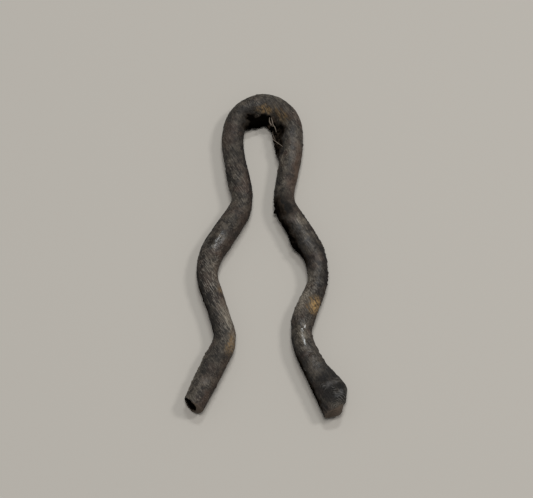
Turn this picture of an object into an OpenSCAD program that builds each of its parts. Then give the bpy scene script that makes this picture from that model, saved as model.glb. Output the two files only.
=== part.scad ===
// Hitch R clip pin: one length of round steel wire, bent into an eye and two waved legs, rusted and
// caked with dirt. It lies flat. Z = 0 is the surface it rests on, +Y points at the eye, and the origin
// stands under the middle of the space where the clip grips a shaft. Lengths are in millimetres and
// angles in degrees.
// Each leg is a chain of steps: a straight, then a bend. The bends are clean wire. The straights carry
// rust scale, which swells towards their middle and ends as a thin skin that laps over the bends beside
// them.

/* [Wire] */
// Diameter of the round wire, clean
wire_d = 4.76; // [4:0.02:6]
// Thickness of the rust scale where it ends, on a bend
rust_skin = 0.05; // [0.04:0.01:0.1]
// How far the rust scale laps over the bend
rust_lap = 0.3; // [0.2:0.05:0.5]
// Length over which the rust scale swells to its full thickness
rust_swell = 2.8; // [1:0.1:4]

/* [Eye] */
// Inside radius of the eye's round end
eye_inner_r = 3.7; // [3:0.1:6]
// Angle by which each side still opens where the round end stops
eye_flare = 5; // [0:1:10]

/* [Left leg] */
// Straight at the top of the cheek
left_cheek_len = 1.2; // [0.4:0.1:4]
// Rust scale there
left_cheek_rust = 0.1; // [0.05:0.01:0.5]
// Inward turn of the cheek
left_cheek_angle = 20.7; // [12:0.1:24]
// Inside radius of the cheek
left_cheek_r = 27.6; // [22:0.1:32]
// Straight between the cheek and the waist
left_shank_len = 1.6; // [0.4:0.1:8]
// Rust scale there
left_shank_rust = 0.1; // [0.05:0.01:0.5]
// Outward turn of the waist
left_waist_angle = 47.2; // [42:0.1:52]
// Inside radius of the waist
left_waist_r = 6.6; // [3:0.1:9]
// Straight between the waist and the belly
left_shoulder_len = 8.3; // [4:0.1:12]
// Rust scale there
left_shoulder_rust = 0.3; // [0.05:0.01:0.5]
// Inward turn of the belly, where the shaft sits
left_belly_angle = 49.3; // [44:0.1:54]
// Inside radius of the belly
left_belly_r = 8.6; // [6:0.1:11]
// Straight between the belly and the throat
left_return_len = 9.4; // [4:0.1:12]
// Rust scale there
left_return_rust = 0.1; // [0.05:0.01:0.5]
// Outward turn of the throat, the narrow way in
left_throat_angle = 42.5; // [36:0.1:48]
// Inside radius of the throat
left_throat_r = 4.3; // [3:0.1:9]
// Straight tail that leads the clip over the shaft
left_tail_len = 14.2; // [8:0.1:18]
// Rust scale there
left_tail_rust = 0.25; // [0.05:0.01:0.5]
// Width of the worn edge on the cut end
left_cut_edge = 0.5; // [0.2:0.1:1]

/* [Right leg] */
// Straight at the top of the cheek
right_cheek_len = 0.5; // [0.4:0.1:4]
// Rust scale there
right_cheek_rust = 0.1; // [0.05:0.01:0.5]
// Inward turn of the cheek
right_cheek_angle = 16; // [10:0.1:20]
// Inside radius of the cheek
right_cheek_r = 27.6; // [22:0.1:32]
// Straight between the cheek and the waist
right_shank_len = 5.8; // [0.4:0.1:8]
// Rust scale there
right_shank_rust = 0.08; // [0.05:0.01:0.5]
// Outward turn of the waist
right_waist_angle = 40.7; // [36:0.1:46]
// Inside radius of the waist
right_waist_r = 5.7; // [3:0.1:9]
// Straight between the waist and the belly
right_shoulder_len = 9.1; // [6:0.1:12]
// Rust scale there
right_shoulder_rust = 0.3; // [0.05:0.01:0.5]
// Inward turn of the belly, where the shaft sits
right_belly_angle = 50.6; // [46:0.1:56]
// Inside radius of the belly
right_belly_r = 9.1; // [6:0.1:11]
// Straight between the belly and the throat
right_return_len = 5.9; // [3:0.1:12]
// Rust scale there
right_return_rust = 0.12; // [0.05:0.01:0.5]
// Outward turn of the throat, the narrow way in
right_throat_angle = 44.9; // [40:0.1:50]
// Inside radius of the throat
right_throat_r = 7.6; // [3:0.1:9]
// Straight tail that leads the clip over the shaft
right_tail_len = 14.9; // [12:0.1:18]
// Rust scale there
right_tail_rust = 0.33; // [0.05:0.01:0.5]
// Width of the worn edge on the cut end
right_cut_edge = 0.4; // [0.2:0.1:1]

/* [Caked dirt] */
// How far the dirt under the eye's round end stands into the eye
eye_cake = 2.1; // [0.8:0.1:2.4]
// How far that dirt runs on down the right cheek
eye_cake_run = 7; // [3:0.5:8]
// How far the crust inside the right shoulder stands off the wire
shoulder_crust = 0.6; // [0.3:0.1:1.5]
// How far the lump on the outside of the right tail stands off the wire
tail_lump = 2.1; // [0.8:0.1:3]
// Length of that lump, up to the cut end
tail_lump_len = 11; // [8:0.5:11.5]
// How far the lump rises above the tail's rust
tail_lump_rise = 0.2; // [0:0.1:0.6]

/* [Hidden] */
$fn = 96;
wire_r = wire_d / 2;
eye_r = eye_inner_r + wire_r;
// The skin's end slopes down into the bend, to this depth
rust_sink = 0.3;
rest_z = wire_r + max(left_cheek_rust, left_shank_rust, left_shoulder_rust, left_return_rust, left_tail_rust,
    right_cheek_rust, right_shank_rust, right_shoulder_rust, right_return_rust, right_tail_rust);

// A step is its straight's length and rust, then its bend's outward turn and centreline radius
left_steps = [
    [left_cheek_len, left_cheek_rust, -left_cheek_angle, left_cheek_r + wire_r],
    [left_shank_len, left_shank_rust, left_waist_angle, left_waist_r + wire_r],
    [left_shoulder_len, left_shoulder_rust, -left_belly_angle, left_belly_r + wire_r],
    [left_return_len, left_return_rust, left_throat_angle, left_throat_r + wire_r]
];
right_steps = [
    [right_cheek_len, right_cheek_rust, -right_cheek_angle, right_cheek_r + wire_r],
    [right_shank_len, right_shank_rust, right_waist_angle, right_waist_r + wire_r],
    [right_shoulder_len, right_shoulder_rust, -right_belly_angle, right_belly_r + wire_r],
    [right_return_len, right_return_rust, right_throat_angle, right_throat_r + wire_r]
];
shoulder_step = 2;
belly_step = 2;

// Each clod of dirt is a hull round its grains. A grain is its place, its share of the clod's full stand off
// the wire, and the radius and height of its middle as shares of the wire's radius. Round the eye its place
// is an angle.
grain_fn = 20;
eye_left_clod = [[155, 0.25, 0.5, -0.2], [130, 0.75, 0.6, -0.2], [110, 0.95, 0.63, -0.17],
    [92, 1, 0.63, -0.17]];
eye_top_clod = [[98, 0.95, 0.63, -0.13], [75, 0.9, 0.67, -0.13], [45, 1, 0.63, -0.13]];
eye_right_clod = [[50, 1, 0.6, -0.17], [eye_flare, 0.95, 0.63, -0.2]];
// Down the cheek and the shoulder, a grain's place is a share of the dirt's length there
cheek_clod = [[0.55, 0.88, 0.5, -0.25], [1, 0.45, 0.38, -0.25]];
shoulder_clod = [[0.4, 0, 0.63, 0.21], [0.62, 1, 0.6, 0.25], [0.8, 0.7, 0.6, 0.25], [1, 0, 0.63, 0.21]];
// Along the tail's lump, a grain's place is a share of its length from the cut end, and its last number is
// how far its top stays below the lump's top, as a share of the wire's radius
tail_inner_clod = [[1, 0, 0.63, 0.08], [0.64, 0.54, 0.76, 0.04], [0.4, 1, 0.8, 0]];
tail_outer_clod = [[0.42, 1, 0.8, 0], [0.25, 0.66, 0.67, 0.08], [0.13, 0.26, 0.5, 0.17]];
// The lump spreads from cores inside the wire, which stand off its centreline and are thinner than it
tail_core_places = [0.9, 0.3];
tail_core_x = 0.3 * wire_r;
tail_core_r = 0.9 * wire_r;

// Plan view of a leg from the middle of the eye, with outwards along +X
function outward(angle) = [cos(angle), sin(angle)];
function onward(angle) = [sin(angle), -cos(angle)];
function heading(steps, n) = n == 0 ? eye_flare : heading(steps, n - 1) + steps[n - 1][2];
function reach(step) = sign(step[2]) * step[3];
function bend_centre(steps, n) = step_start(steps, n)
    + steps[n][0] * onward(heading(steps, n)) + reach(steps[n]) * outward(heading(steps, n));
function step_start(steps, n) = n == 0
    ? eye_r * outward(eye_flare)
    : bend_centre(steps, n - 1) - reach(steps[n - 1]) * outward(heading(steps, n));

// The shaft's axis stands midway between the centres of the two belly bends
left_belly = bend_centre(left_steps, belly_step);
right_belly = bend_centre(right_steps, belly_step);
shaft_x = (right_belly[0] - left_belly[0]) / 2;
shaft_y = (right_belly[1] + left_belly[1]) / 2;

// Profile of a straight's first end: the skin's sloping end, then the swell
function rusted_start(rust, swell) = [
    [0, -rust_lap - rust_sink],
    [wire_r - rust_sink, -rust_lap - rust_sink],
    [wire_r + rust_skin, -rust_lap],
    [wire_r + max(rust, rust_skin), swell]
];

// A rusted straight along -Y from the local origin
module straight(length, rust) {
    start = rusted_start(rust, min(rust_swell, 0.45 * length));
    finish = [for (i = [len(start) - 1 : -1 : 0]) [start[i][0], length - start[i][1]]];
    rotate([90, 0, 0]) rotate_extrude() polygon(concat(start, finish));
}

// The last straight, which ends in a cut with a worn edge
module tail(length, rust, cut_edge) {
    r = wire_r + max(rust, rust_skin);
    finish = [[r, length - cut_edge], [r - cut_edge, length], [0, length]];
    rotate([90, 0, 0]) rotate_extrude() polygon(concat(rusted_start(rust, rust_swell), finish));
}

// A bend that starts at the local origin, heading along -Y, and turns towards +X
module bend(turn, radius) {
    translate([radius, 0, 0]) rotate([0, 0, 180])
        rotate_extrude(angle = turn) translate([radius, 0]) circle(r = wire_r);
}

module step_wire(step) {
    straight(step[0], step[1]);
    translate([0, -step[0], 0]) mirror([step[2] < 0 ? 1 : 0, 0, 0]) bend(abs(step[2]), step[3]);
}

// Moves its children from the start of a step to its end
module past(step) {
    translate([reach(step), -step[0], 0]) rotate([0, 0, step[2]]) translate([-reach(step), 0, 0]) children();
}

// Moves its children past the first n steps of a leg
module after(steps, n, k = 0) {
    if (k < n) past(steps[k]) after(steps, n, k + 1) children();
    else children();
}

// Moves its children from the middle of the eye to the start of the right leg
module leg_frame() {
    rotate([0, 0, eye_flare]) translate([eye_r, 0, 0]) children();
}

module leg(steps, tail_len, tail_rust, cut_edge) {
    leg_frame() {
        for (n = [0 : len(steps) - 1]) after(steps, n) step_wire(steps[n]);
        after(steps, len(steps)) tail(tail_len, tail_rust, cut_edge);
    }
}

module eye() {
    rotate([0, 0, eye_flare])
        rotate_extrude(angle = 180 - 2 * eye_flare) translate([eye_r, 0]) circle(r = wire_r);
}

// Moves its children onto the right leg, a distance along the straight of step n
module on_right_leg(n, along) {
    leg_frame() after(right_steps, n) translate([0, -along, 0]) children();
}

// A grain whose far side stands off the clean wire by stand, towards +X
module grain(stand, r, z) {
    translate([wire_r + stand - r, 0, z]) sphere(r = r, $fn = grain_fn);
}

// The same grain on the inside of the clip, with its radius and height as shares of the wire's radius
module inner_grain(stand, r_share, z_share) {
    mirror([1, 0, 0]) grain(stand, r_share * wire_r, z_share * wire_r);
}

module eye_grains(clod) {
    for (g = clod)
        rotate([0, 0, g[0]]) translate([eye_r, 0, 0]) inner_grain(g[1] * eye_cake, g[2], g[3]);
}

module cheek_grains(clod) {
    for (g = clod)
        on_right_leg(0, g[0] * eye_cake_run) inner_grain(g[1] * eye_cake, g[2], g[3]);
}

// The dirt in the eye hangs under its round end and runs down inside the right cheek
module eye_dirt() {
    hull() eye_grains(eye_left_clod);
    hull() eye_grains(eye_top_clod);
    hull() {
        eye_grains(eye_right_clod);
        cheek_grains(cheek_clod);
    }
}

// Crust on the inside of the right shoulder, from near the surface it rests on to near its top
module shoulder_dirt() {
    hull() for (g = shoulder_clod, z = [-g[3], g[3]])
        on_right_leg(shoulder_step, g[0] * right_shoulder_len)
            inner_grain(right_shoulder_rust + g[1] * shoulder_crust, g[2], z);
}

module on_tail_lump(place) {
    on_right_leg(len(right_steps), right_tail_len - place * tail_lump_len) children();
}

module tail_grains(clod) {
    for (g = clod) {
        r = g[2] * wire_r;
        high = wire_r + right_tail_rust + tail_lump_rise - g[3] * wire_r - r;
        on_tail_lump(g[0]) {
            grain(right_tail_rust + g[1] * tail_lump, r, high);
            grain(right_tail_rust + g[1] * tail_lump, r, tail_lump_rise - high);
        }
    }
}

module tail_cores(places) {
    for (place = places)
        on_tail_lump(place) translate([tail_core_x, 0, 0]) sphere(r = tail_core_r, $fn = grain_fn);
}

// The lump on the outside of the right tail swells towards the cut end and stops just short of it
module tail_dirt() {
    hull() {
        tail_grains(tail_inner_clod);
        tail_cores(tail_core_places);
    }
    hull() {
        tail_grains(tail_outer_clod);
        tail_cores([min(tail_core_places)]);
    }
}

module r_clip() {
    color("dimgray") {
        translate([-shaft_x, -shaft_y, rest_z]) {
            leg(right_steps, right_tail_len, right_tail_rust, right_cut_edge);
            mirror([1, 0, 0]) leg(left_steps, left_tail_len, left_tail_rust, left_cut_edge);
            eye();
            eye_dirt();
            shoulder_dirt();
            tail_dirt();
        }
    }
}

r_clip();
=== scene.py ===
# %% [markdown]
# # A rusted hitch clip
# The object is a hitch R clip: a 73 mm long pin of spring steel wire, bent into an eye and two waved
# legs. It is rusted all over, and dirt is caked in the eye, on one shoulder and on one tail. The lesson
# models the wire and its dirt as one skin, roughens that skin, and then gives it a rust finish.
# Everything is in metres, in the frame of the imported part. Sizes are written in millimetres and turned to
# metres.

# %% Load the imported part
import math
import random

import bpy
import numpy as np
from mathutils import Matrix, Vector, noise
from mathutils.kdtree import KDTree


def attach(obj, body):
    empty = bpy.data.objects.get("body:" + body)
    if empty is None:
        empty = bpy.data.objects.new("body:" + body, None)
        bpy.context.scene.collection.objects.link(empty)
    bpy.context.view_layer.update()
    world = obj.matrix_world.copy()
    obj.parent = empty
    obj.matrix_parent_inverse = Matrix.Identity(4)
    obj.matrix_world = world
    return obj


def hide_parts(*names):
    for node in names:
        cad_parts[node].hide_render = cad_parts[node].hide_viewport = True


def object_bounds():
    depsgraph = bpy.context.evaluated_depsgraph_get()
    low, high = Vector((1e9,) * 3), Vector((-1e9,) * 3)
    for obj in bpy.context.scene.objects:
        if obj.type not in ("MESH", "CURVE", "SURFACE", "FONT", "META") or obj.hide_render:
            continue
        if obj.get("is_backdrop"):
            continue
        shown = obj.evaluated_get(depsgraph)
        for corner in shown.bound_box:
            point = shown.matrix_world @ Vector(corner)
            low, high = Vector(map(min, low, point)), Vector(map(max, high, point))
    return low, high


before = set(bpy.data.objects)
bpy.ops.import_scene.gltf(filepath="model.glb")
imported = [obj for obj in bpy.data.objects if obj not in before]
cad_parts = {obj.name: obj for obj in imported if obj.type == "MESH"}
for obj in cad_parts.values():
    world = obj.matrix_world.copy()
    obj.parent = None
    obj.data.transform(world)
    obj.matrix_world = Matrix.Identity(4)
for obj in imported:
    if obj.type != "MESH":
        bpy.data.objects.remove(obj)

cad_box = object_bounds()
MM = 0.001


def in_mm(values):
    return [round(v / MM, 2) for v in values]


print("CAD box in mm:", [in_mm(corner) for corner in cad_box])

# %% [markdown]
# ## The camera
# The photograph was taken from about half a metre away, tilted 23 degrees from straight down, with the
# eye of the clip away from the camera. A camera looks along its own -Z, so a turn of 23 degrees about X
# gives that tilt. The lens is worked out from the real size: 4.72 pixels of the picture are one
# millimetre of the clip.

# %% Place the camera
PICTURE_WIDTH_PX = 533
FOCAL_PX = 2596
SENSOR_MM = 36
TILT = math.radians(23)
DISTANCE = 550 * MM
AIM = Vector((1.27, 6.68, 0.21)) * MM
NEAREST_M = 0.01
FARTHEST_M = 5

camera_data = bpy.data.cameras.new("camera")
camera_data.sensor_width = SENSOR_MM
camera_data.lens = SENSOR_MM * FOCAL_PX / PICTURE_WIDTH_PX
camera_data.clip_start = NEAREST_M
camera_data.clip_end = FARTHEST_M
camera = bpy.data.objects.new("camera", camera_data)
bpy.context.scene.collection.objects.link(camera)
camera.location = AIM + DISTANCE * Vector((0, -math.sin(TILT), math.cos(TILT)))
camera.rotation_euler = (TILT, 0, 0)
bpy.context.scene.camera = camera
print("Lens:", round(camera_data.lens, 1), "mm; camera in mm:", in_mm(camera.location))

# %% [markdown]
# ## Helpers for meshes
# An operator acts on whatever is selected, and loading the part leaves its nodes selected. So each piece
# starts with nothing selected. Vertices are read and moved all at once as a table with a row for each,
# because there are nearly a hundred thousand of them.

# %% Helpers for meshes
def deselect_all():
    bpy.ops.object.select_all(action="DESELECT")


def make_active(piece):
    deselect_all()
    piece.select_set(True)
    bpy.context.view_layer.objects.active = piece


def edit(piece, select_mode="VERT"):
    make_active(piece)
    bpy.ops.object.mode_set(mode="EDIT")
    bpy.ops.mesh.select_mode(type=select_mode)


def leave_edit():
    bpy.ops.object.mode_set(mode="OBJECT")


def apply_modifier(piece, kind, **settings):
    make_active(piece)
    modifier = piece.modifiers.new(kind.lower(), kind)
    for name, value in settings.items():
        setattr(modifier, name, value)
    bpy.ops.object.modifier_apply(modifier=modifier.name)


def join(pieces):
    make_active(pieces[0])
    for piece in pieces:
        piece.select_set(True)
    bpy.ops.object.join()
    return pieces[0]


def triangles(piece):
    return sum(len(face.vertices) - 2 for face in piece.data.polygons)


def read_vertices(piece, what):
    """A row for each vertex, with its place where asked for "co", or its normal where asked for "normal"."""
    flat = np.empty(len(piece.data.vertices) * 3)
    piece.data.vertices.foreach_get(what, flat)
    return flat.reshape(-1, 3)


def move_points(piece, points):
    piece.data.vertices.foreach_set("co", (points * MM).ravel())
    piece.data.update()


# %% [markdown]
# ## The route of the wire
# A wire bender makes such a clip from straights and bends, so the route is written the same way, from the
# cut end of the left tail, up the left leg, round the eye and down the right leg. Each move is a
# straight's length, then a bend's angle and its radius at the middle of the wire. A positive angle turns
# to the left, seen from above.

# %% Write the route of the wire
WIRE_R = 2.38
WIRE_Z = 2.71
EYE_CENTRE = (0.34, 33.0)
EYE_R = 6.08
EYE_FLARE = 5
LEFT_LEG = [(1.2, 20.7, 29.98), (1.6, -47.2, 8.98), (8.3, 49.3, 10.98), (9.4, -42.5, 6.68)]
RIGHT_LEG = [(0.5, -16.0, 29.98), (5.8, 40.7, 8.08), (9.1, -50.6, 11.48), (5.9, 44.9, 9.98)]
LEFT_TAIL = 14.2
RIGHT_TAIL = 14.9


def step(pose, length, angle=0.0, radius=0.0):
    """The wire's end after a straight and then a bend. A pose is x, y and heading, in mm and degrees."""
    x, y, heading = pose
    a = math.radians(heading)
    x, y = x + length * math.cos(a), y + length * math.sin(a)
    if angle:
        side = math.copysign(1, angle)
        b = math.radians(heading + angle)
        x += side * radius * (math.sin(b) - math.sin(a))
        y -= side * radius * (math.cos(b) - math.cos(a))
    return x, y, heading + angle


def eye_end(side):
    angle = math.radians(90 + side * (90 - EYE_FLARE))
    return EYE_CENTRE[0] + EYE_R * math.cos(angle), EYE_CENTRE[1] + EYE_R * math.sin(angle)


def wire_in(leg):
    return sum(length + abs(math.radians(angle)) * radius for length, angle, radius in leg)


# The left leg is walked down from the eye to find where its tail ends
pose = (*eye_end(1), -90 - EYE_FLARE)
for length, angle, radius in LEFT_LEG:
    pose = step(pose, length, angle, radius)
tail_end = step(pose, LEFT_TAIL)
start = (tail_end[0], tail_end[1], tail_end[2] - 180)

moves = [(LEFT_TAIL, 0, 0)]
for length, angle, radius in reversed(LEFT_LEG):
    moves += [(0, -angle, radius), (length, 0, 0)]
moves.append((0, -(180 - 2 * EYE_FLARE), EYE_R))
for length, angle, radius in RIGHT_LEG:
    moves += [(length, 0, 0), (0, angle, radius)]
moves.append((RIGHT_TAIL, 0, 0))
print("Left tail ends at", [round(v, 2) for v in tail_end])
print("The wire is", round(wire_in(moves), 1), "mm long")

# %% [markdown]
# ## Sweeping the wire
# The wire could be a curve with a bevel, but extruding a circle is closer to how the wire is bent: a
# straight is one extrusion, and a bend is one spin about its centre. The circle is filled, so both cut ends
# are closed.

# %% Sweep a circle along the route
WIRE_SIDES = 48
BEND_STEP_MM = 0.6


def place(pose, along=0.0, out=0.0, up=0.0):
    """A point beside a pose, in metres: along its heading, out to its left, and up from the wire's middle."""
    a = math.radians(pose[2])
    x = pose[0] + along * math.cos(a) - out * math.sin(a)
    y = pose[1] + along * math.sin(a) + out * math.cos(a)
    return Vector((x, y, WIRE_Z + up)) * MM


deselect_all()
bpy.ops.mesh.primitive_circle_add(
    vertices=WIRE_SIDES,
    radius=WIRE_R * MM,
    fill_type="NGON",
    location=place(start),
    rotation=(math.radians(90), 0, math.radians(start[2] - 90)),
)
wire = bpy.context.active_object
wire.name = "wire"
bpy.ops.object.transform_apply(location=True, rotation=True, scale=True)
edit(wire, "FACE")
bpy.ops.mesh.select_all(action="SELECT")
pose = start
for length, angle, radius in moves:
    finish = step(pose, length, angle, radius)
    if length:
        offset = place(finish) - place(pose)
        bpy.ops.mesh.extrude_region_move(TRANSFORM_OT_translate={"value": offset})
    else:
        bpy.ops.mesh.spin(
            steps=max(2, round(abs(math.radians(angle)) * radius / BEND_STEP_MM)),
            angle=-math.radians(angle),
            center=place(pose, out=math.copysign(radius, angle)),
            axis=(0, 0, 1),
        )
    pose = finish
bpy.ops.mesh.select_all(action="SELECT")
bpy.ops.mesh.normals_make_consistent(inside=False)
leave_edit()
print("Right tail ends at", [round(v, 2) for v in pose], "- wire has", triangles(wire), "triangles")

# %% [markdown]
# A cropped end has a sharp rim, and rust and handling wear it round. It could be sculpted, but a small
# bevel on the edges round both cut faces is exact and takes one operator.

# %% Bevel the cut rims
CUT_RIM_MM = 0.15
CUT_RIM_STEPS = 3

mesh = wire.data
cut_faces = [face for face in mesh.polygons if len(face.vertices) == WIRE_SIDES]
rims = {key for face in cut_faces for key in face.edge_keys}
for elements in (mesh.polygons, mesh.edges, mesh.vertices):
    elements.foreach_set("select", [False] * len(elements))
for edge in mesh.edges:
    edge.select = edge.key in rims
edit(wire, "EDGE")
bpy.ops.mesh.bevel(offset=CUT_RIM_MM * MM, segments=CUT_RIM_STEPS, affect="EDGES")
leave_edit()
box = [in_mm(f(corner[axis] for corner in wire.bound_box) for f in (min, max)) for axis in range(3)]
print("Cut ends:", len(cut_faces), "- the wire's box in mm:", box)

# %% [markdown]
# ## Places on the wire
# Rust and dirt follow the wire, so it helps to say where a point is as a bender would: how far along the
# wire it is, and which way it faces there. Along is 0 at the top of the eye, less than 0 on the left leg
# and more on the right. The route is sampled every quarter of a millimetre, and a tree of those samples
# finds the nearest one to any point. All along the route the left side is the outside of the clip.

# %% Sample the route
SAMPLE_MM = 0.25
EYE_HALF = math.radians(90 - EYE_FLARE) * EYE_R
LEFT_END = -(LEFT_TAIL + wire_in(LEFT_LEG) + EYE_HALF)
RIGHT_END = EYE_HALF + wire_in(RIGHT_LEG) + RIGHT_TAIL


def sample_route():
    poses, distance, pose = [], LEFT_END, start
    for length, angle, radius in moves:
        size = length + abs(math.radians(angle)) * radius
        count = math.ceil(size / SAMPLE_MM)
        for i in range(count):
            share = i / count
            poses.append((distance + share * size, *step(pose, share * length, share * angle, radius)))
        pose = step(pose, length, angle, radius)
        distance += size
    poses.append((distance, *pose))
    return np.array(poses)


route = sample_route()
route_tree = KDTree(len(route))
for i, (_, x, y, _) in enumerate(route):
    route_tree.insert((x, y, 0), i)
route_tree.balance()


def pose_at(along):
    return tuple(np.interp(along, route[:, 0], route[:, i]) for i in (1, 2, 3))


def where(points):
    """For each point in mm: how far along the wire it is, how far outside, above and away from its middle."""
    nearest = np.array([route_tree.find((x, y, 0))[1] for x, y, _ in points])
    s, x, y, heading = route[nearest].T
    a = np.radians(heading)
    dx, dy = points[:, 0] - x, points[:, 1] - y
    along = s + dx * np.cos(a) + dy * np.sin(a)
    out = -dx * np.sin(a) + dy * np.cos(a)
    up = points[:, 2] - WIRE_Z
    return along, out, up, np.hypot(out, up)


print("The wire runs from", round(LEFT_END, 2), "to", round(RIGHT_END, 2), "mm")
print("The eye is within", round(EYE_HALF, 2), "mm of its top")

# %% [markdown]
# ## Grains of dirt
# Caked dirt is many grains stuck together. One rough grain is modelled from an icosphere, and it is
# copied with a seeded random turn and size to each place, so that every run gives the same dirt. Each
# grain sinks into the wire or its neighbours. Later they all become one skin, so nothing shows where they
# cross.

# %% Model one grain of dirt
GRAIN_ROUGHNESS_MM = 0.13

random.seed(7)
deselect_all()
bpy.ops.mesh.primitive_ico_sphere_add(subdivisions=2, radius=MM, location=(0, 0, 0))
grain = bpy.context.active_object
grain.name = "grain"
edit(grain)
bpy.ops.mesh.select_all(action="SELECT")
bpy.ops.transform.vertex_random(offset=GRAIN_ROUGHNESS_MM * MM, uniform=0, normal=1, seed=3)
leave_edit()
print("One grain has", triangles(grain), "triangles")

# %% Helpers for placing grains
grains = []


def add_grain(along, out, up, radius):
    """A grain at a place on the wire. Out and up are in mm from the wire's middle."""
    copy = grain.copy()
    copy.data = grain.data.copy()
    bpy.context.scene.collection.objects.link(copy)
    turn = Matrix.Rotation(random.uniform(0, math.tau), 4, (random.random(), random.random(), 1))
    size = Matrix.Diagonal((radius, radius, radius, 1))
    copy.data.transform(Matrix.Translation(place(pose_at(along), 0, out, up)) @ size @ turn)
    grains.append(copy)


def stand_at(along, table):
    """Reads a table of places along the wire and how far the dirt there stands off it."""
    return np.interp(along, *zip(*table))


# %% [markdown]
# The dirt in the eye hangs under the round end and runs down the right cheek. How far it stands off the
# wire is measured in the photograph at a few places. It lies low, so that the wire's crown stays clear of
# it. Where it thins out on the cheek it ends in a small spike.

# %% Fill the eye with dirt
EYE_DIRT = [
    (-8.6, 0.0), (-7.4, 0.45), (-6.0, 1.25), (-4.5, 1.8), (-2.0, 1.9), (0.0, 1.9), (2.1, 1.85), (4.8, 1.85),
    (7.0, 1.85), (9.0, 1.8), (10.9, 1.7), (12.9, 1.4), (14.9, 0.8), (15.9, 0.3), (16.7, 0.0),
]
EYE_GRAINS = 260
EYE_GRAIN_R = (0.35, 0.9)
# Along the wire, out from its middle, and the grain's radius
EYE_SPIKE = [(14.9, -2.95, 0.42), (15.5, -2.75, 0.34), (16.1, -2.55, 0.27), (16.6, -2.35, 0.22)]
EYE_SPIKE_UP = -0.4

for i in range(EYE_GRAINS):
    along = random.uniform(EYE_DIRT[0][0] + 0.8, EYE_DIRT[-1][0])
    stand = stand_at(along, EYE_DIRT)
    # The power puts more of the grains near the edge of the dirt
    depth = random.random() ** 0.6
    radius = random.uniform(*EYE_GRAIN_R)
    up = random.uniform(-1.9, 1.3 - 1.0 * depth) * (1 - 0.2 * depth)
    add_grain(along, -(WIRE_R + depth * stand - radius), up, radius)
for along, out, radius in EYE_SPIKE:
    add_grain(along, out, EYE_SPIKE_UP, radius)
print("Grains in the eye:", len(grains))

# %% [markdown]
# A crust of the same dirt sticks to the inside of the right leg, from its waist to its belly. It has three
# small points at the waist and one bump on the shoulder.

# %% Crust the right shoulder
CRUST = [
    (25.0, 0.0), (27.5, 0.1), (30.5, 0.15), (33.2, -0.1), (34.6, 0.4), (36.2, 0.6), (38.0, 0.15),
    (40.0, 0.0),
]
CRUST_GRAINS = 130
CRUST_GRAIN_R = (0.25, 0.7)
CRUST_FACING = (-55, 50)
# Along the wire, and out from its middle, where each point starts
WAIST_POINTS = [(25.2, -1.85), (26.4, -1.95), (27.7, -2.3)]
POINT_GRAINS = 3
POINT_UP = -0.3

for i in range(CRUST_GRAINS):
    along = random.uniform(CRUST[0][0], CRUST[-1][0])
    facing = math.radians(random.uniform(*CRUST_FACING))
    radius = random.uniform(*CRUST_GRAIN_R)
    reach = WIRE_R + stand_at(along, CRUST) - radius
    add_grain(along, -reach * math.cos(facing), reach * math.sin(facing), radius)
# Each point is a few grains that shrink as they stand farther off the wire
for along, out in WAIST_POINTS:
    for i in range(POINT_GRAINS):
        add_grain(along + 0.15 * i, out - 0.24 * i, POINT_UP, 0.42 - 0.1 * i)
print("Grains with the crust:", len(grains))

# %% [markdown]
# The right tail carries one large smooth lump on its outside. It swells for 8 mm, and thins again to the
# cut end. A chain of large grains gives its outline, and a row nearer the wire fills it. They are flatter
# than the wire at the lump's edge, because the dirt was soft and has sagged. A few crumbs lie where it
# starts.

# %% Build the tail's lump
LUMP = [
    (65.0, 0.0), (66.2, 0.15), (67.6, 0.35), (69.0, 0.85), (70.2, 1.2), (71.7, 1.75), (72.8, 2.2),
    (73.6, 2.05), (74.6, 1.4), (75.6, 0.85), (76.6, 0.35),
]
LUMP_STEP_MM = 0.4
LUMP_R = 1.65
LUMP_RISE = 0.55
LUMP_CRUMBS = 9

for i in range(int((LUMP[-1][0] - LUMP[0][0]) / LUMP_STEP_MM) + 1):
    along = LUMP[0][0] + i * LUMP_STEP_MM
    reach = WIRE_R + stand_at(along, LUMP)
    for up in (-1, 1):
        add_grain(along, reach - LUMP_R, up * LUMP_RISE, LUMP_R)
        add_grain(along, 0.45 * (reach - LUMP_R), up * LUMP_RISE, 1.2 * LUMP_R)
for i in range(LUMP_CRUMBS):
    along = random.uniform(65.2, 67.2)
    out = random.uniform(2.15, 2.35)
    up = random.uniform(-0.8, 0.8)
    add_grain(along, out, up, random.uniform(0.3, 0.45))
print("Grains in all:", len(grains))

# %% [markdown]
# ## One skin
# The wire and its grains are joined, and a voxel remesh turns them into one closed skin, with even quads of
# 0.19 mm that are small enough for pits and crumbs.

# %% Join and remesh
VOXEL_MM = 0.19

bpy.data.objects.remove(grain)
clip = join([wire, *grains])
clip.name = "rusted_clip"
apply_modifier(clip, "REMESH", mode="VOXEL", voxel_size=VOXEL_MM * MM, adaptivity=0)
print("Skin has", triangles(clip), "triangles")

# %% [markdown]
# ## Masks along the wire
# Each finish and each bit of roughness has its place. A mask is a number from 0 to 1 at each vertex, made
# from how far along the wire the vertex is and which way it faces: 0 degrees is the outside of the clip,
# 90 the top, 180 the inside and -90 the underside. Edges of a mask are softened, because rust and dirt
# have no hard borders.

# %% Helpers for masks
def ramp(values, low, high):
    """0 below low, 1 above high, and smooth between them."""
    share = np.clip((values - low) / (high - low), 0, 1)
    return share * share * (3 - 2 * share)


def towards(facing, degrees, spread, softness=0.6):
    """1 where the surface faces that way round the wire, fading to 0 at about spread degrees from it."""
    away = np.abs((facing - degrees + 180) % 360 - 180)
    return 1 - ramp(away, (1 - softness) * spread, (1 + 0.3 * softness) * spread)


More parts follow.
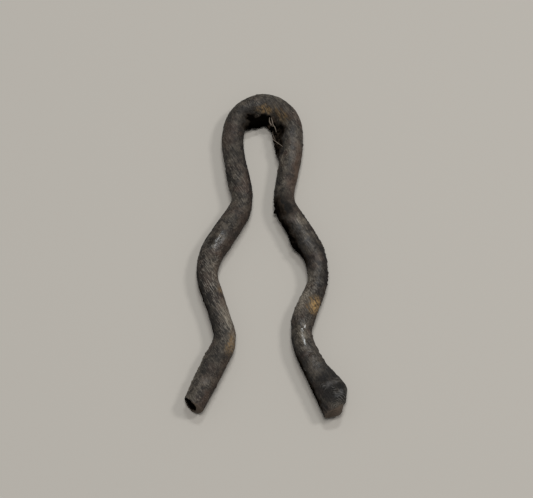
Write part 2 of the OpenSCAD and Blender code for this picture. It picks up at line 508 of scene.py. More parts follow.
def noise_at(points, size, octaves=3, seed=0.0):
    """Soft noise, about -1 to 1, whose lumps are some size in mm."""
    offset = Vector((seed, 2.3 * seed, -1.7 * seed))
    return np.array([noise.fractal(Vector(p) / size + offset, 1.0, 2.0, octaves) for p in points])


# %% [markdown]
# The lump dried from wet soil, so its grains have run together. Smoothing melts it into the wire. Dirt
# that stands off the wire elsewhere is melted less, because its vertices have less weight in a vertex
# group, which the modifier uses as its mask.

# %% Melt the lump into the tail
DIRT_MELT = 0.06
EYE_MELT = 0.24
LEAST_WEIGHT = 0.01

points = read_vertices(clip, "co") / MM
along, out, up, radius = where(points)
facing = np.degrees(np.arctan2(up, out))
whole_lump = ramp(along, 63.5, 66) * towards(facing, 5, 165)
off_wire = ramp(radius, WIRE_R + 0.02, WIRE_R + 0.3)
in_eye = 1 - ramp(along, 18, 22)
weights = np.clip(whole_lump + (DIRT_MELT + EYE_MELT * in_eye) * off_wire, 0, 1)
melt = clip.vertex_groups.new(name="melt")
for i, weight in enumerate(weights):
    if weight > LEAST_WEIGHT:
        melt.add([i], float(weight), "REPLACE")
apply_modifier(clip, "SMOOTH", factor=0.6, iterations=16, vertex_group="melt")
print("Before melting the dirt reached", round(radius.max(), 2), "mm from the wire's middle")

# %% [markdown]
# ## Rust scale
# Rust swells as it grows, so the wire is thicker where the scale is thick. Its radius was fitted to the
# photograph, on the inside and on the outside of the clip. It is thickest on the shoulders and tails, and
# thin where the wire was bent hard and the scale flaked off. A crust on top of the eye thickens it there.

# %% Swell the wire with rust
# Along the wire, then the radius on the inside and on the outside of the clip
RUST = [
    (-76.4, 2.4, 2.15), (-71, 2.6, 2.35), (-65, 2.68, 2.48), (-62, 2.68, 2.28), (-59, 2.48, 2.12),
    (-56, 2.4, 1.98), (-53, 2.38, 1.82), (-50, 2.44, 1.96), (-47, 2.44, 2.0), (-44, 2.4, 2.12),
    (-41, 2.68, 2.26), (-38, 2.8, 2.62), (-32, 2.74, 2.55), (-29, 2.62, 2.42), (-26, 2.3, 2.02),
    (-23, 2.45, 2.28), (-20, 2.7, 2.16), (-17, 2.55, 2.02), (-11, 2.2, 2.48), (-7, 2.4, 2.28), (-3, 2.4, 2.3),
    (0.8, 2.4, 2.76), (4, 2.4, 2.58), (10, 2.38, 2.62), (16, 2.25, 2.44), (22, 2.0, 2.32), (25, 1.88, 2.4),
    (28, 2.08, 2.66), (31, 2.2, 2.82), (37, 2.32, 2.95), (40, 2.12, 2.66), (43, 2.0, 2.42), (46, 1.84, 2.34),
    (52, 2.26, 2.4), (55, 2.26, 2.54), (58, 1.92, 2.38), (61, 1.95, 2.6), (64, 2.14, 2.66), (70, 2.15, 2.54),
    (77.3, 2.22, 2.34),
]

points = read_vertices(clip, "co") / MM
along, out, up, radius = where(points)
a = np.radians(np.interp(along, route[:, 0], route[:, 3]))
outwards = np.stack([-np.sin(a) * out / radius, np.cos(a) * out / radius, up / radius], 1)
stations, inside_radius, outside_radius = zip(*RUST)
inside_radius = np.interp(along, stations, inside_radius)
outside_radius = np.interp(along, stations, outside_radius)
rust_radius = (inside_radius + outside_radius) / 2 + (outside_radius - inside_radius) / 2 * out / radius
swell = (rust_radius - WIRE_R) * np.clip(radius / WIRE_R, 0, 1)
points += outwards * swell[:, None]
move_points(clip, points)
print("Rust radius from", round(rust_radius.min(), 2), "to", round(rust_radius.max(), 2), "mm")

# %% [markdown]
# ## Cut ends
# The wire was cropped, which leaves a face with drawn-in sides. The left end is drawn in on both sides
# and on top, and it has a hollow that takes up most of its face; later the hollow is painted near black
# with the dirt. The right end is drawn in on its outside only.

# %% Shape the cut ends
# The hollow's depth, how far outside the wire's middle it lies, and half its width and height
HOLLOW_MM = 0.8
HOLLOW_OUT = 0.65
HOLLOW_HALF = (1.7, 2.2)

along, out, up, radius = where(points)
left_face = ramp(-along, -LEFT_END - 0.3, -LEFT_END - 0.05)
right_face = ramp(along, RIGHT_END - 0.3, RIGHT_END - 0.05)
from_middle = ((out - HOLLOW_OUT) / HOLLOW_HALF[0]) ** 2 + (up / HOLLOW_HALF[1]) ** 2
hollow = left_face * (1 - ramp(from_middle, 0.8, 1.1))
# Each pull is in mm at the rim, and fades towards the face's middle and along the wire
left_pull = 1.2 * np.clip(out / 2.4, 0, 1) ** 2 + 0.6 * np.clip((-out - 1.6) / 0.8, 0, 1) ** 2
left_pull += 0.5 * np.clip(up / 2.4, 0, 1)
left_pull *= ramp(-along, -LEFT_END - 2.2, -LEFT_END)
right_pull = 0.9 * np.clip(out / 2.6, 0, 1) ** 2 * ramp(along, RIGHT_END - 1.6, RIGHT_END)
for pull, pose in ((left_pull + HOLLOW_MM * hollow, pose_at(LEFT_END)), (-right_pull, pose_at(RIGHT_END))):
    a = math.radians(pose[2])
    points += pull[:, None] * (math.cos(a), math.sin(a), 0)
move_points(clip, points)
print("Hollow covers", round(100 * float(hollow.sum() / left_face.sum())), "% of the left end's face")

# %% [markdown]
# ## Patches
# Rust and dirt lie in patches, whose places were read off the photograph as how far along the wire they
# are and which way round. Noise frays their edges.

# %% Helper for patches
facing = np.degrees(np.arctan2(up, out))
frayed_along = along + 0.6 * noise_at(points, 1.2, 3, 21.0)
frayed_facing = facing + 16 * noise_at(points, 1.3, 3, 25.0) + 10 * noise_at(points, 0.5, 2, 26.0)


def patches(places, softness):
    """Adds up patches: each a place along the wire, its reach in mm, a facing, its spread and a strength."""
    total = np.zeros(len(points))
    for middle, reach, degrees, spread, strength in places:
        near = 1 - ramp(np.abs(frayed_along - middle), (1 - softness) * reach, (1 + 0.3 * softness) * reach)
        total = np.maximum(total, strength * near * towards(frayed_facing, degrees, spread, softness))
    return total


# %% [markdown]
# Three kinds of patch change the skin's shape. Where it is flaky the scale has cracked into long ridges,
# where it is burred it stands up in small teeth at the outline, and where it is wet or rubbed it is
# smooth enough to shine.

# %% Lay the flaky, burred and wet patches
FLAKY = [
    (-46.5, 8, 90, 120, 1), (-57, 4, 100, 90, 0.6), (50, 6, 90, 110, 0.5), (3, 8, 110, 60, 0.4),
    (-20, 8, 60, 60, 0.3), (-69, 8, 90, 120, 0.15),
]
BURRED = [
    (-67, 7, -5, 60, 1), (42, 12, -10, 60, 0.9), (-20, 6, 10, 60, 0.7), (68, 5, 0, 60, 0.6),
    (12, 6, 180, 40, 0.6), (-26, 6, 185, 60, 0.4),
]
WET = [
    (57.9, 1.4, 86, 42, 1), (61.3, 1.4, 86, 42, 1), (59.6, 3.8, 86, 42, 0.88), (-37.4, 2.8, 80, 60, 0.9),
    (35.5, 6, 88, 30, 0.6), (44, 6, 86, 30, 0.45), (14, 6, 76, 40, 0.45), (66, 4, 80, 32, 0.5),
    (71.8, 0.7, 62, 30, 1), (74.4, 0.8, 40, 40, 1), (74.9, 0.6, 15, 25, 0.8), (-4, 10, 80, 40, 0.25),
    (-70.6, 1.2, 100, 30, 0.45),
]
flaky = patches(FLAKY, 0.8)
burred = patches(BURRED, 0.7)
wet = patches(WET, 0.6)
for name, values in (("flaky", flaky), ("burred", burred), ("wet", wet)):
    print("Mostly", name + ":", round(100 * float(np.mean(values > 0.5)), 1), "% of the skin")

# %% [markdown]
# ## Roughness that shows in the outline
# A bump in the material doesn't change the outline, so the lumps, pits and flakes that can be seen from
# the side are real geometry. Each is noise of its own size, which moves the vertices along their normals.
# Flakes are ridges that lean across the wire, as the scale has cracked. The lump on the tail is smoother,
# because it dried on wet.

# %% Roughen the skin
FLAKE_TURN = math.radians(57)
FLAKE_MM = 0.55
FLAKE_LENGTH = 4

normals = read_vertices(clip, "normal")
on_lump = ramp(along, 65.5, 69) * towards(facing, 20, 120) * (1 - right_face)
proud = ramp(radius - rust_radius, 0.08, 0.4)
off_lump = 1 - ramp(along, 62, 64)
cos_turn, sin_turn = math.cos(FLAKE_TURN), math.sin(FLAKE_TURN)
leaning = np.stack([
    (points[:, 0] * cos_turn - points[:, 1] * sin_turn) / FLAKE_LENGTH,
    points[:, 0] * sin_turn + points[:, 1] * cos_turn,
    points[:, 2],
], 1)
# Each height is in mm, and each noise has a size in mm, a number of octaves and a seed
lumps = 0.06 * noise_at(points, 2.6, 2, 1.0)
grit = 0.05 * noise_at(points, 0.8, 3, 5.0)
specks = 0.15 * ramp(noise_at(points, 0.9, 1, 31.0), 0.35, 0.75)
pits = -0.15 * ramp(noise_at(points, 1.2, 2, 37.0), 0.35, 0.8)
burrs = 0.28 * burred * noise_at(points, 0.5, 1, 41.0)
flakes = 0.06 * (0.25 + 0.75 * flaky) * noise_at(leaning, FLAKE_MM, 2, 9.0)
crumbs = 0.15 * noise_at(points, 0.5, 2, 13.0)
plain = (1 - 0.6 * on_lump) * (1 - 0.92 * wet) * (1 - 0.6 * np.maximum(left_face, right_face))
rise = lumps + plain * (grit + specks + pits + burrs + flakes * (1 - proud)) + crumbs * (proud * off_lump)
points += normals * rise[:, None]
points[:, 2] = np.maximum(points[:, 2], 0)
move_points(clip, points)
print("Roughness stands", round(rise.min(), 2), "to", round(rise.max(), 2), "mm off the skin")

# %% [markdown]
# ## Where the rust and dirt differ
# The material needs to know what lies where. Each mask is stored on the mesh as an attribute, which
# travels with it and can be read by the material's nodes. The dark mask is mostly painted shade: it darkens
# both flanks of the wire along most of its length, as the lamps light the crown and leave the sides in
# shade, and a few of its patches, as on the lump, are dark grime.

# %% Places of dirt and rust
# Caked dirt, and painted shade: the black strips along the right tail's inside and the left leg's outside
# stand for dirt and for the shade on those flanks
CAKED_DIRT_AND_SHADE = [
    (-7.5, 3, 178, 52, 0.8), (-4.2, 2.6, 165, 52, 1), (-0.5, 6.5, 200, 58, 1), (7, 6, 192, 62, 1),
    (9.4, 2.6, 160, 56, 1), (12.5, 4.2, 182, 56, 1), (27.8, 3.6, 155, 86, 0.9), (33, 6.5, 174, 72, 0.93),
    (38.4, 6, 177, 66, 0.9), (67, 9, 189, 56, 0.88), (73, 5, 187, 62, 0.9), (-50, 8, -2, 44, 0.75),
    (-58, 4, -5, 36, 0.7), (-19, 11, 182, 34, 0.75),
]
# Painted shade on the flanks that the lamps leave dark, with a few patches of real grime
SHADE_AND_GRIME = [
    (53, 27, -12, 50, 0.55), (-14, 12, -12, 50, 0.4), (0, 200, 192, 50, 0.5), (-19, 12, 185, 52, 0.8),
    (-50, 10, 0, 80, 0.85), (-57, 5, 10, 80, 0.8), (28, 4.2, 125, 105, 0.95), (34, 6, 165, 88, 0.7),
    (40.5, 5.5, 160, 90, 0.75), (-5, 5, 158, 78, 0.75), (4.5, 6, 150, 92, 0.75), (11, 5, 165, 75, 0.7),
    (60, 6, 195, 60, 0.85), (70, 9, 165, 85, 0.7), (72.5, 5.5, 60, 125, 0.92), (-34, 6, 180, 70, 0.5),
    (-36, 7, 0, 55, 0.8), (43, 9, 2, 72, 0.88), (47, 5, 30, 60, 0.55), (-20, 2.2, 25, 40, 0.9),
    (-13, 9, 95, 90, 0.35), (22, 3, 150, 50, 0.6), (32, 8, 5, 60, 0.75), (-43.5, 4.5, 75, 60, 0.4),
    (52.5, 3, 65, 40, 0.45), (-67, 7, 90, 75, 0.35),
]
WARM = [(-50, 40, 178, 55, 0.6), (18, 6, 30, 50, 0.8), (40, 30, -5, 50, 0.5), (31, 3, 60, 60, 0.4)]
# Pale rust, with painted highlights on a few crowns: the right shoulder, the left tail and between the glints
# of the right throat
PALE_RUST_AND_HIGHLIGHTS = [
    (-55.6, 4, 142, 50, 0.85), (-68, 7, 0, 42, 0.45), (-60, 3, 165, 40, 0.6), (51.5, 3.2, 138, 56, 0.75),
    (46, 3, 150, 45, 0.6), (-45, 5, 140, 45, 0.3), (32.5, 1.5, 58, 24, 0.7), (16.6, 0.8, 150, 25, 0.7),
    (-70.5, 1.4, 105, 35, 0.3), (59.6, 3, 84, 32, 0.3),
]
OCHRE = [
    (51.9, 2.1, 45, 44, 1), (0.9, 3, 132, 26, 0.42), (5.5, 4, 118, 32, 0.22), (-61, 2.4, 145, 34, 0.4),
    (-49.4, 1, 150, 28, 0.3),
]
EARTHY = [(4.9, 1.4, 180, 60, 0.95), (12, 3, 185, 50, 0.4), (28, 3, 110, 60, 0.15)]
print("Patches of dirt:", len(CAKED_DIRT_AND_SHADE) + len(SHADE_AND_GRIME), "- of rust:", len(WARM) + len(PALE_RUST_AND_HIGHLIGHTS) + len(OCHRE))

# %% Store the masks
cut_face = np.maximum(right_face, left_face)
thick_dirt = ramp(radius - rust_radius, 0.1, 0.8) * off_lump
dirt = np.maximum(patches(CAKED_DIRT_AND_SHADE, 0.75), thick_dirt) * (1 - cut_face)
# The hollow in the left end is painted near black, with the dirt
dirt = np.maximum(dirt, ramp(hollow, 0.1, 0.4))
shrunk = ramp(frayed_along, 69.5, 72) * towards(frayed_facing, 35, 70) * (1 - right_face)
MASKS = {
    "dirt": dirt,
    "dark": patches(SHADE_AND_GRIME, 0.7),
    "warm": patches(WARM, 0.8),
    "pale": patches(PALE_RUST_AND_HIGHLIGHTS, 0.8),
    "flaky": flaky,
    "ochre": patches(OCHRE, 0.85),
    "earthy": patches(EARTHY, 0.8),
    "dusty": cut_face * (1 - hollow),
    "wet": np.maximum(wet, 0.2 * on_lump),
    "shrunk": shrunk * ramp(noise_at(points, 1.6, 2, 51.0), -0.25, 0.4),
}
for name, values in MASKS.items():
    attribute = clip.data.attributes.new(name, "FLOAT", "POINT")
    attribute.data.foreach_set("value", np.clip(values, 0, 1).astype(np.float32))
    print("Mask", name, "covers", round(100 * float(np.mean(values > 0.5)), 1), "% of the skin")

# %% [markdown]
# ## Rust finish
# The real surface is iron oxide on spring steel: dull and dark brown-grey, with no metal showing. Its
# colours are written as the sRGB hex values that a paint program shows, and one function turns them to
# the linear values that Blender works with.

# %% Helpers for materials
def colour(hex_code):
    def linear(v):
        return v / 12.92 if v <= 0.04045 else ((v + 0.055) / 1.055) ** 2.4
    return (*(linear(int(hex_code[i:i + 2], 16) / 255) for i in (1, 3, 5)), 1)


def add_node(tree, kind, settings=None, links=None):
    """Adds a node. A setting whose name is a property goes there, and any other to the input of that name."""
    node = tree.nodes.new(kind)
    for name, value in (settings or {}).items():
        if isinstance(name, str) and hasattr(node, name):
            setattr(node, name, value)
        else:
            node.inputs[name].default_value = value
    for name, socket in (links or {}).items():
        tree.links.new(socket, node.inputs[name])
    return node


def new_material(name):
    material = bpy.data.materials.new(name)
    material.use_nodes = True
    material.node_tree.nodes.clear()
    return material, material.node_tree


def dress(piece, *materials):
    """Gives a piece its materials and shades it smooth."""
    piece.data.materials.clear()
    for material in materials:
        piece.data.materials.append(material)
    for face in piece.data.polygons:
        face.use_smooth = True


# %% [markdown]
# Rust has no pattern that repeats, so its colour comes from noises, whose sizes were measured on the
# object in millimetres. A picture would stretch round the bends, but noise in object coordinates goes
# through the wire like the grain through wood. Streaks are noise that is turned and drawn out, along the
# same lean as the flakes. Wrinkles are rings round the end of the tail, as a skin gets where it dries and
# shrinks.

# %% Noises and masks of the rust
STREAK_STRETCH = 0.1
WRINKLE_MM = 0.5
# How far apart the rings of a wave texture lie where its scale is 1
RING_STEP = math.tau / 20

rust, tree = new_material("rusted_spring_steel")
coords = add_node(tree, "ShaderNodeTexCoord").outputs["Object"]
turned = add_node(
    tree, "ShaderNodeVectorRotate", {"rotation_type": "Z_AXIS", "Angle": FLAKE_TURN}, {"Vector": coords}
).outputs["Vector"]
drawn_out = add_node(
    tree, "ShaderNodeVectorMath", {"operation": "MULTIPLY", 1: (STREAK_STRETCH, 1, 1)}, {0: turned}
).outputs["Vector"]
# Each noise's size in mm, its detail, and the coordinates that it reads
NOISES = {
    "mottle": (1.8, 5, coords),
    "patchy": (5.0, 2, coords),
    "blotches": (1.4, 3, coords),
    "streaks": (0.2, 2, drawn_out),
    "strands": (0.28, 2, drawn_out),
    "grit": (0.25, 3, coords),
    "crackle": (0.5, 4, coords),
}
source = {
    name: add_node(
        tree, "ShaderNodeTexNoise", {"Scale": 1 / (size_mm * MM), "Detail": detail}, {"Vector": vector}
    ).outputs["Fac"]
    for name, (size_mm, detail, vector) in NOISES.items()
}
from_tail = add_node(
    tree,
    "ShaderNodeVectorMath",
    {"operation": "SUBTRACT", 1: place(pose_at(RIGHT_END), out=0.5)},
    {0: coords},
).outputs["Vector"]
ring_scale = RING_STEP / (WRINKLE_MM * MM)
source["wrinkles"] = add_node(
    tree,
    "ShaderNodeTexWave",
    {"wave_type": "RINGS", "rings_direction": "Z", "Scale": ring_scale, "Distortion": 9, "Detail": 1},
    {"Vector": from_tail},
).outputs["Fac"]
for name in ("dirt", "dark", "warm", "ochre", "pale", "flaky", "dusty", "wet", "shrunk"):
    source[name] = add_node(tree, "ShaderNodeAttribute", {"attribute_name": name}).outputs["Fac"]
print("The rust reads", len(source), "noises and masks")

# %% [markdown]
# The colour starts as one dark brown-grey, and layers go over it like washes of paint: soft mottling,
# then the streaks, then fine grit. Each layer is a colour, the noise that says where it lies, and the
# range of that noise over which its share goes from one value to another. A layer may also be kept to one
# of the masks. Later ones are pale rust with painted highlights on a few crowns, painted shade down the
# flanks with some grime, and ochre rust. The last ones are black over the dirt, the shaded strips and the
# hollow in the left end, the lump's wrinkles with painted shade in their troughs and a painted highlight
# on their crests, and dust on the cut ends.

# %% Lay the rust's colours
BARE_RUST = "#2b2620"
# Colour, noise, the noise's range, the layer's share at both ends of it, and the mask that keeps it
LAYERS = [
    ("#4d463d", "mottle", (0.38, 0.64), (0, 1), None),
    ("#413027", "patchy", (0.46, 0.62), (0, 0.55), None),
    ("#17130f", "blotches", (0.38, 0.50), (0.75, 0), None),
    ("#7c7468", "streaks", (0.54, 0.68), (0, 0.32), None),
    ("#8d867c", "streaks", (0.53, 0.64), (0, 0.55), "flaky"),
    ("#120f0c", "streaks", (0.36, 0.48), (0.42, 0), None),
    ("#0d0b09", "streaks", (0.36, 0.50), (0.75, 0), "flaky"),
    ("#120e0a", "grit", (0.30, 0.43), (0.7, 0), None),
    ("#8a8173", "grit", (0.60, 0.74), (0, 0.52), None),
    ("#4d3729", "mottle", (0.30, 0.60), (0.3, 0.8), "warm"),
    # Pale rust, and on a few crowns a painted highlight
    ("#92897a", "streaks", (0.35, 0.62), (0.2, 0.85), "pale"),
    # Painted shade down the flanks, with some grime
    ("#0e0c0a", "mottle", (0.40, 0.70), (0.95, 0.65), "dark"),
    ("#9c7d50", "strands", (0.38, 0.60), (0.1, 0.95), "ochre"),
    ("#070605", "grit", (0.30, 0.70), (1.0, 0.9), "dirt"),
    # Painted shade in the troughs and a painted highlight on the crests of the lump's wrinkles
    ("#0b0a09", "wrinkles", (0.10, 0.50), (0.5, 0), "shrunk"),
    ("#85827c", "wrinkles", (0.86, 1.00), (0, 0.42), "shrunk"),
    ("#52463b", "mottle", (0.30, 0.70), (0.95, 0.8), "dusty"),
]
body = add_node(tree, "ShaderNodeRGB")
body.outputs["Color"].default_value = colour(BARE_RUST)
body = body.outputs["Color"]
for hex_code, noise_name, (low, high), (least, most), mask in LAYERS:
    share = add_node(
        tree,
        "ShaderNodeMapRange",
        {
            "interpolation_type": "SMOOTHSTEP",
            "From Min": low,
            "From Max": high,
            "To Min": least,
            "To Max": most,
        },
        {"Value": source[noise_name]},
    ).outputs["Result"]
    if mask:
        share = add_node(
            tree, "ShaderNodeMath", {"operation": "MULTIPLY"}, {0: share, 1: source[mask]}
        ).outputs["Value"]
    body = add_node(
        tree, "ShaderNodeMix", {"data_type": "RGBA", 7: colour(hex_code)}, {0: share, 6: body}
    ).outputs[2]
print("Layers of colour:", len(LAYERS))

# %% [markdown]
# Rust is dull, and the dark flanks and the dirt are duller. A few crowns are smooth and a little wet, so
# the lamps put glints on them: there the roughness and the bump are both low. Elsewhere the bump gives the
# cracks, the grit and the wrinkles that are too fine for the mesh.

# %% Gloss and relief of the rust
WET_GLOSS = -0.42
SHADE_AND_GRIME_DULLS = 0.35
DIRT_DULLS = 0.5
STREAK_RELIEF = 0.7
RELIEF_MM = 0.3

dullness = add_node(
    tree,
    "ShaderNodeMapRange",
    {"From Min": 0.3, "From Max": 0.7, "To Min": 0.5, "To Max": 0.75},
    {"Value": source["grit"]},
).outputs["Result"]
less_wet = add_node(
    tree, "ShaderNodeMath", {"operation": "MULTIPLY_ADD", 1: WET_GLOSS}, {0: source["wet"], 2: dullness}
).outputs["Value"]
dulled_where_dark = add_node(
    tree, "ShaderNodeMath", {"operation": "MULTIPLY_ADD", 1: SHADE_AND_GRIME_DULLS}, {0: source["dark"], 2: less_wet}
).outputs["Value"]
roughness = add_node(
    tree,
    "ShaderNodeMath",
    {"operation": "MULTIPLY_ADD", 1: DIRT_DULLS, "use_clamp": True},
    {0: source["dirt"], 2: dulled_where_dark},
).outputs["Value"]
relief = add_node(
    tree,
    "ShaderNodeMath",
    {"operation": "MULTIPLY_ADD", 1: STREAK_RELIEF},
    {0: source["streaks"], 2: source["crackle"]},
).outputs["Value"]
relief = add_node(
    tree,
    "ShaderNodeMath",
    {"operation": "MULTIPLY_ADD"},
    {0: source["wrinkles"], 1: source["shrunk"], 2: relief},
).outputs["Value"]
smooth_where_wet = add_node(
    tree, "ShaderNodeMapRange", {"To Min": 0.85, "To Max": 0.04}, {"Value": source["wet"]}
).outputs["Result"]
bump = add_node(
    tree, "ShaderNodeBump", {"Distance": RELIEF_MM * MM}, {"Height": relief, "Strength": smooth_where_wet}
).outputs["Normal"]
surface = add_node(
    tree,
    "ShaderNodeBsdfPrincipled",
    {"Specular IOR Level": 0.35},
    {"Base Color": body, "Roughness": roughness, "Normal": bump},
)
add_node(tree, "ShaderNodeOutputMaterial", links={"Surface": surface.outputs["BSDF"]})
print("Nodes in the rust:", len(tree.nodes))

# %% [markdown]
# ## Dirt finish
# Caked dirt is soil and old grease. It is nearly black and has no gloss at all, so it gets a material of
# its own, whose specular level is zero. The same black also paints the shade on a few strips along the
# flanks. It goes on the faces where the dirt mask is strong, and it starts there as brown as the rust
# beside it, so the border between the two doesn't show.

# %% Caked dirt
SOIL_FROM = 0.55
SOIL_EDGE = "#2b2621"
SOIL_BLACK = "#050403"
SOIL_EARTH = "#4d4137"
CRUMB_MM = 0.5

soil, tree = new_material("greasy_soil_and_painted_shade")
coords = add_node(tree, "ShaderNodeTexCoord").outputs["Object"]
crumbly = add_node(
    tree, "ShaderNodeTexNoise", {"Scale": 1 / (CRUMB_MM * MM), "Detail": 4}, {"Vector": coords}
).outputs["Fac"]
dirt_mask = add_node(tree, "ShaderNodeAttribute", {"attribute_name": "dirt"}).outputs["Fac"]
earthy = add_node(tree, "ShaderNodeAttribute", {"attribute_name": "earthy"}).outputs["Fac"]
thickness = add_node(
    tree,
    "ShaderNodeMapRange",
    {"interpolation_type": "SMOOTHSTEP", "From Min": SOIL_FROM, "From Max": 0.95, "To Min": 0, "To Max": 1},
    {"Value": dirt_mask},
).outputs["Result"]
loose = add_node(
    tree,
    "ShaderNodeMapRange",
    {"interpolation_type": "SMOOTHSTEP", "From Min": 0.42, "From Max": 0.65, "To Min": 0.1, "To Max": 1},
    {"Value": crumbly},
).outputs["Result"]
loose = add_node(tree, "ShaderNodeMath", {"operation": "MULTIPLY"}, {0: loose, 1: earthy}).outputs["Value"]
body = add_node(
    tree, "ShaderNodeMix", {"data_type": "RGBA", 6: colour(SOIL_EDGE), 7: colour(SOIL_BLACK)}, {0: thickness}
).outputs[2]
body = add_node(
    tree, "ShaderNodeMix", {"data_type": "RGBA", 7: colour(SOIL_EARTH)}, {0: loose, 6: body}
).outputs[2]
bump = add_node(
    tree, "ShaderNodeBump", {"Strength": 0.9, "Distance": RELIEF_MM * MM}, {"Height": crumbly}
).outputs["Normal"]
surface = add_node(
    tree,
    "ShaderNodeBsdfPrincipled",
    {"Specular IOR Level": 0, "Roughness": 1},
    {"Base Color": body, "Normal": bump},
)
add_node(tree, "ShaderNodeOutputMaterial", links={"Surface": surface.outputs["BSDF"]})
print("Nodes in the dirt:", len(tree.nodes))

# %% [markdown]
# Both materials go on the one skin, so there is no seam in its shape. Each face takes the dirt where the
# mask of its corners is strong on average.

# %% Give the clip its materials
dress(clip, rust, soil)
for face in clip.data.polygons:
    face.material_index = int(np.mean(dirt[list(face.vertices)]) > SOIL_FROM)
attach(clip, "root")
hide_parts("r_clip")
print("Faces of dirt:", sum(face.material_index for face in clip.data.polygons))

# %% [markdown]
# ## Fibres in the dirt
# A few dry plant fibres stick out of the dirt in the eye. Each could be modelled by extruding a small
# circle, but a curve with a bevel gives a bent strand that thins towards its ends, and it is turned to a
# mesh at once. Both ends are moved to just under the nearest skin of the dirt, so no fibre hangs in the
# air.

# %% Add the fibres
# Places along the wire, out from its middle and above it, then half the fibre's thickness, all in mm
FIBRES = [
    ([(2.6, -3.2, 1.8), (4.4, -3.9, 1.4), (6.6, -3.8, 1.4), (7.6, -4.2, 1.0)], 0.1),
    ([(3.4, -3.0, 1.9), (5.2, -3.2, 1.7), (7.4, -3.6, 1.4), (8.6, -3.2, 1.2), (10.0, -3.3, 0.8)], 0.08),
    ([(4.0, -4.2, 0.9), (5.6, -4.0, 1.4), (7.0, -4.4, 0.6)], 0.09),
    ([(10.3, -4.3, 0.3), (11.2, -4.2, 0.6), (12.7, -3.1, 1.2), (14.2, -1.7, 1.9)], 0.07),
    ([(9.4, -4.3, 0.2), (10.9, -4.1, 0.6), (12.1, -3.2, 1.2)], 0.05),
]
SUNK_MM = 0.2
END_THICKNESS = 0.4


def sunk(point):
    """The nearest place that lies a little under the clip's skin."""
    _, nearest, normal, _ = clip.closest_point_on_mesh(point)
    return nearest - normal * SUNK_MM * MM


strands = []
for places, thickness_mm in FIBRES:
    curve = bpy.data.curves.new("fibre", "CURVE")
    curve.dimensions = "3D"
    curve.bevel_depth = thickness_mm * MM
    curve.bevel_resolution = 1
    curve.resolution_u = 4
    curve.use_fill_caps = True
    spline = curve.splines.new("NURBS")
    spline.points.add(len(places) - 1)
    spline.use_endpoint_u = True
    spline.order_u = 3
    positions = [place(pose_at(along), 0, out, up) for along, out, up in places]
    for end in (0, -1):
        positions[end] = sunk(positions[end])
        spline.points[end].radius = END_THICKNESS
    for point, position in zip(spline.points, positions):
        point.co = (*position, 1)
    strand = bpy.data.objects.new("fibre", curve)
    bpy.context.scene.collection.objects.link(strand)
    make_active(strand)
    bpy.ops.object.convert(target="MESH")
    strands.append(bpy.context.active_object)
fibres = join(strands)
fibres.name = "dry_fibres"
print("Fibres:", len(FIBRES), "with", triangles(fibres), "triangles")

# %% [markdown]
# Dry grass is pale and matt, and browner where soil clings to it. The fibres are only a few pixels wide,
# so soft noise between two colours is enough.

# %% Give the fibres their material
STRAW_DARK = "#564a3f"
STRAW_PALE = "#938779"
STRAW_MOTTLE_MM = 1.2

straw, tree = new_material("dry_grass_fibre")
coords = add_node(tree, "ShaderNodeTexCoord").outputs["Object"]
mottle = add_node(
    tree, "ShaderNodeTexNoise", {"Scale": 1 / (STRAW_MOTTLE_MM * MM), "Detail": 2}, {"Vector": coords}
).outputs["Fac"]
body = add_node(
    tree, "ShaderNodeMix", {"data_type": "RGBA", 6: colour(STRAW_DARK), 7: colour(STRAW_PALE)}, {0: mottle}
).outputs[2]
surface = add_node(
    tree, "ShaderNodeBsdfPrincipled", {"Roughness": 0.7, "Specular IOR Level": 0.3}, {"Base Color": body}
)
add_node(tree, "ShaderNodeOutputMaterial", links={"Surface": surface.outputs["BSDF"]})
dress(fibres, straw)
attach(fibres, "root")
print("Nodes in the fibres:", len(tree.nodes))

# %% [markdown]
# ## Floor and light
# The clip lies on a plain pale floor, which is wide enough to fill the picture from low angles too. It is
# matt, so it takes a soft shadow and no reflection.

# %% Floor
FLOOR_M = 3
FLOOR_COLOUR = "#b1aca4"

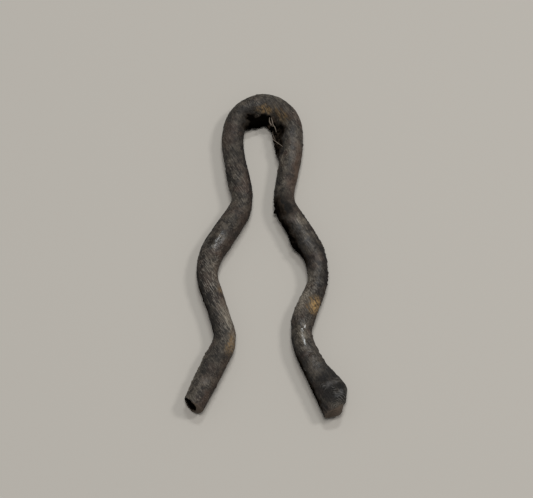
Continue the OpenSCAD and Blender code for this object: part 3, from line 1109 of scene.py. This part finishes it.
deselect_all()
bpy.ops.mesh.primitive_plane_add(size=FLOOR_M, location=(0, 0, 0))
floor = bpy.context.active_object
floor.name = "floor"
paint, tree = new_material("plain_floor")
surface = add_node(
    tree,
    "ShaderNodeBsdfPrincipled",
    {"Base Color": colour(FLOOR_COLOUR), "Roughness": 0.9, "Specular IOR Level": 0.1},
)
add_node(tree, "ShaderNodeOutputMaterial", links={"Surface": surface.outputs["BSDF"]})
floor.data.materials.append(paint)
floor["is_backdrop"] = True
print("Floor:", FLOOR_M, "m wide")

# %% [markdown]
# Most light comes from a soft box nearly overhead, so the crowns of the wire are lit and its sides are
# dark. A smaller lamp at the right gives the faint shadow on the left of each leg, and a cool window
# behind the eye puts the sheen on the crowns. The levels are set so that a colour renders about as it is
# written.

# %% Light
ROOM_LEVEL = 0.22
# Azimuth from +X towards +Y and elevation, width and height in metres, power in watts, and tint
LAMPS = {
    "side_lamp": (17, 53, 0.17, 0.17, 2.6, (1, 1, 1)),
    "soft_box": (270, 84, 0.28, 0.28, 4.6, (1, 1, 1)),
    "window": (82, 63, 0.2, 0.1, 2.2, (0.94, 0.98, 1)),
}

world = bpy.data.worlds.new("room")
bpy.context.scene.world = world
world.use_nodes = True
world.node_tree.nodes.clear()
sky = add_node(world.node_tree, "ShaderNodeBackground", {"Color": (1, 1, 1, 1), "Strength": ROOM_LEVEL})
add_node(world.node_tree, "ShaderNodeOutputWorld", links={"Surface": sky.outputs["Background"]})
for name, (azimuth, elevation, width, height, power, tint) in LAMPS.items():
    data = bpy.data.lights.new(name, "AREA")
    data.shape = "RECTANGLE"
    data.size = width
    data.size_y = height
    data.energy = power
    data.color = tint
    lamp = bpy.data.objects.new(name, data)
    bpy.context.scene.collection.objects.link(lamp)
    a, e = math.radians(azimuth), math.radians(elevation)
    towards_lamp = Vector((math.cos(e) * math.cos(a), math.cos(e) * math.sin(a), math.sin(e)))
    lamp.location = towards_lamp
    lamp.rotation_euler = towards_lamp.to_track_quat("Z", "Y").to_euler()
bpy.context.scene.view_settings.view_transform = "Standard"
print("Lamps, each a metre away:", ", ".join(LAMPS))

# %% Print the size
model_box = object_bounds()
print("Visual box in mm:", [in_mm(corner) for corner in model_box])
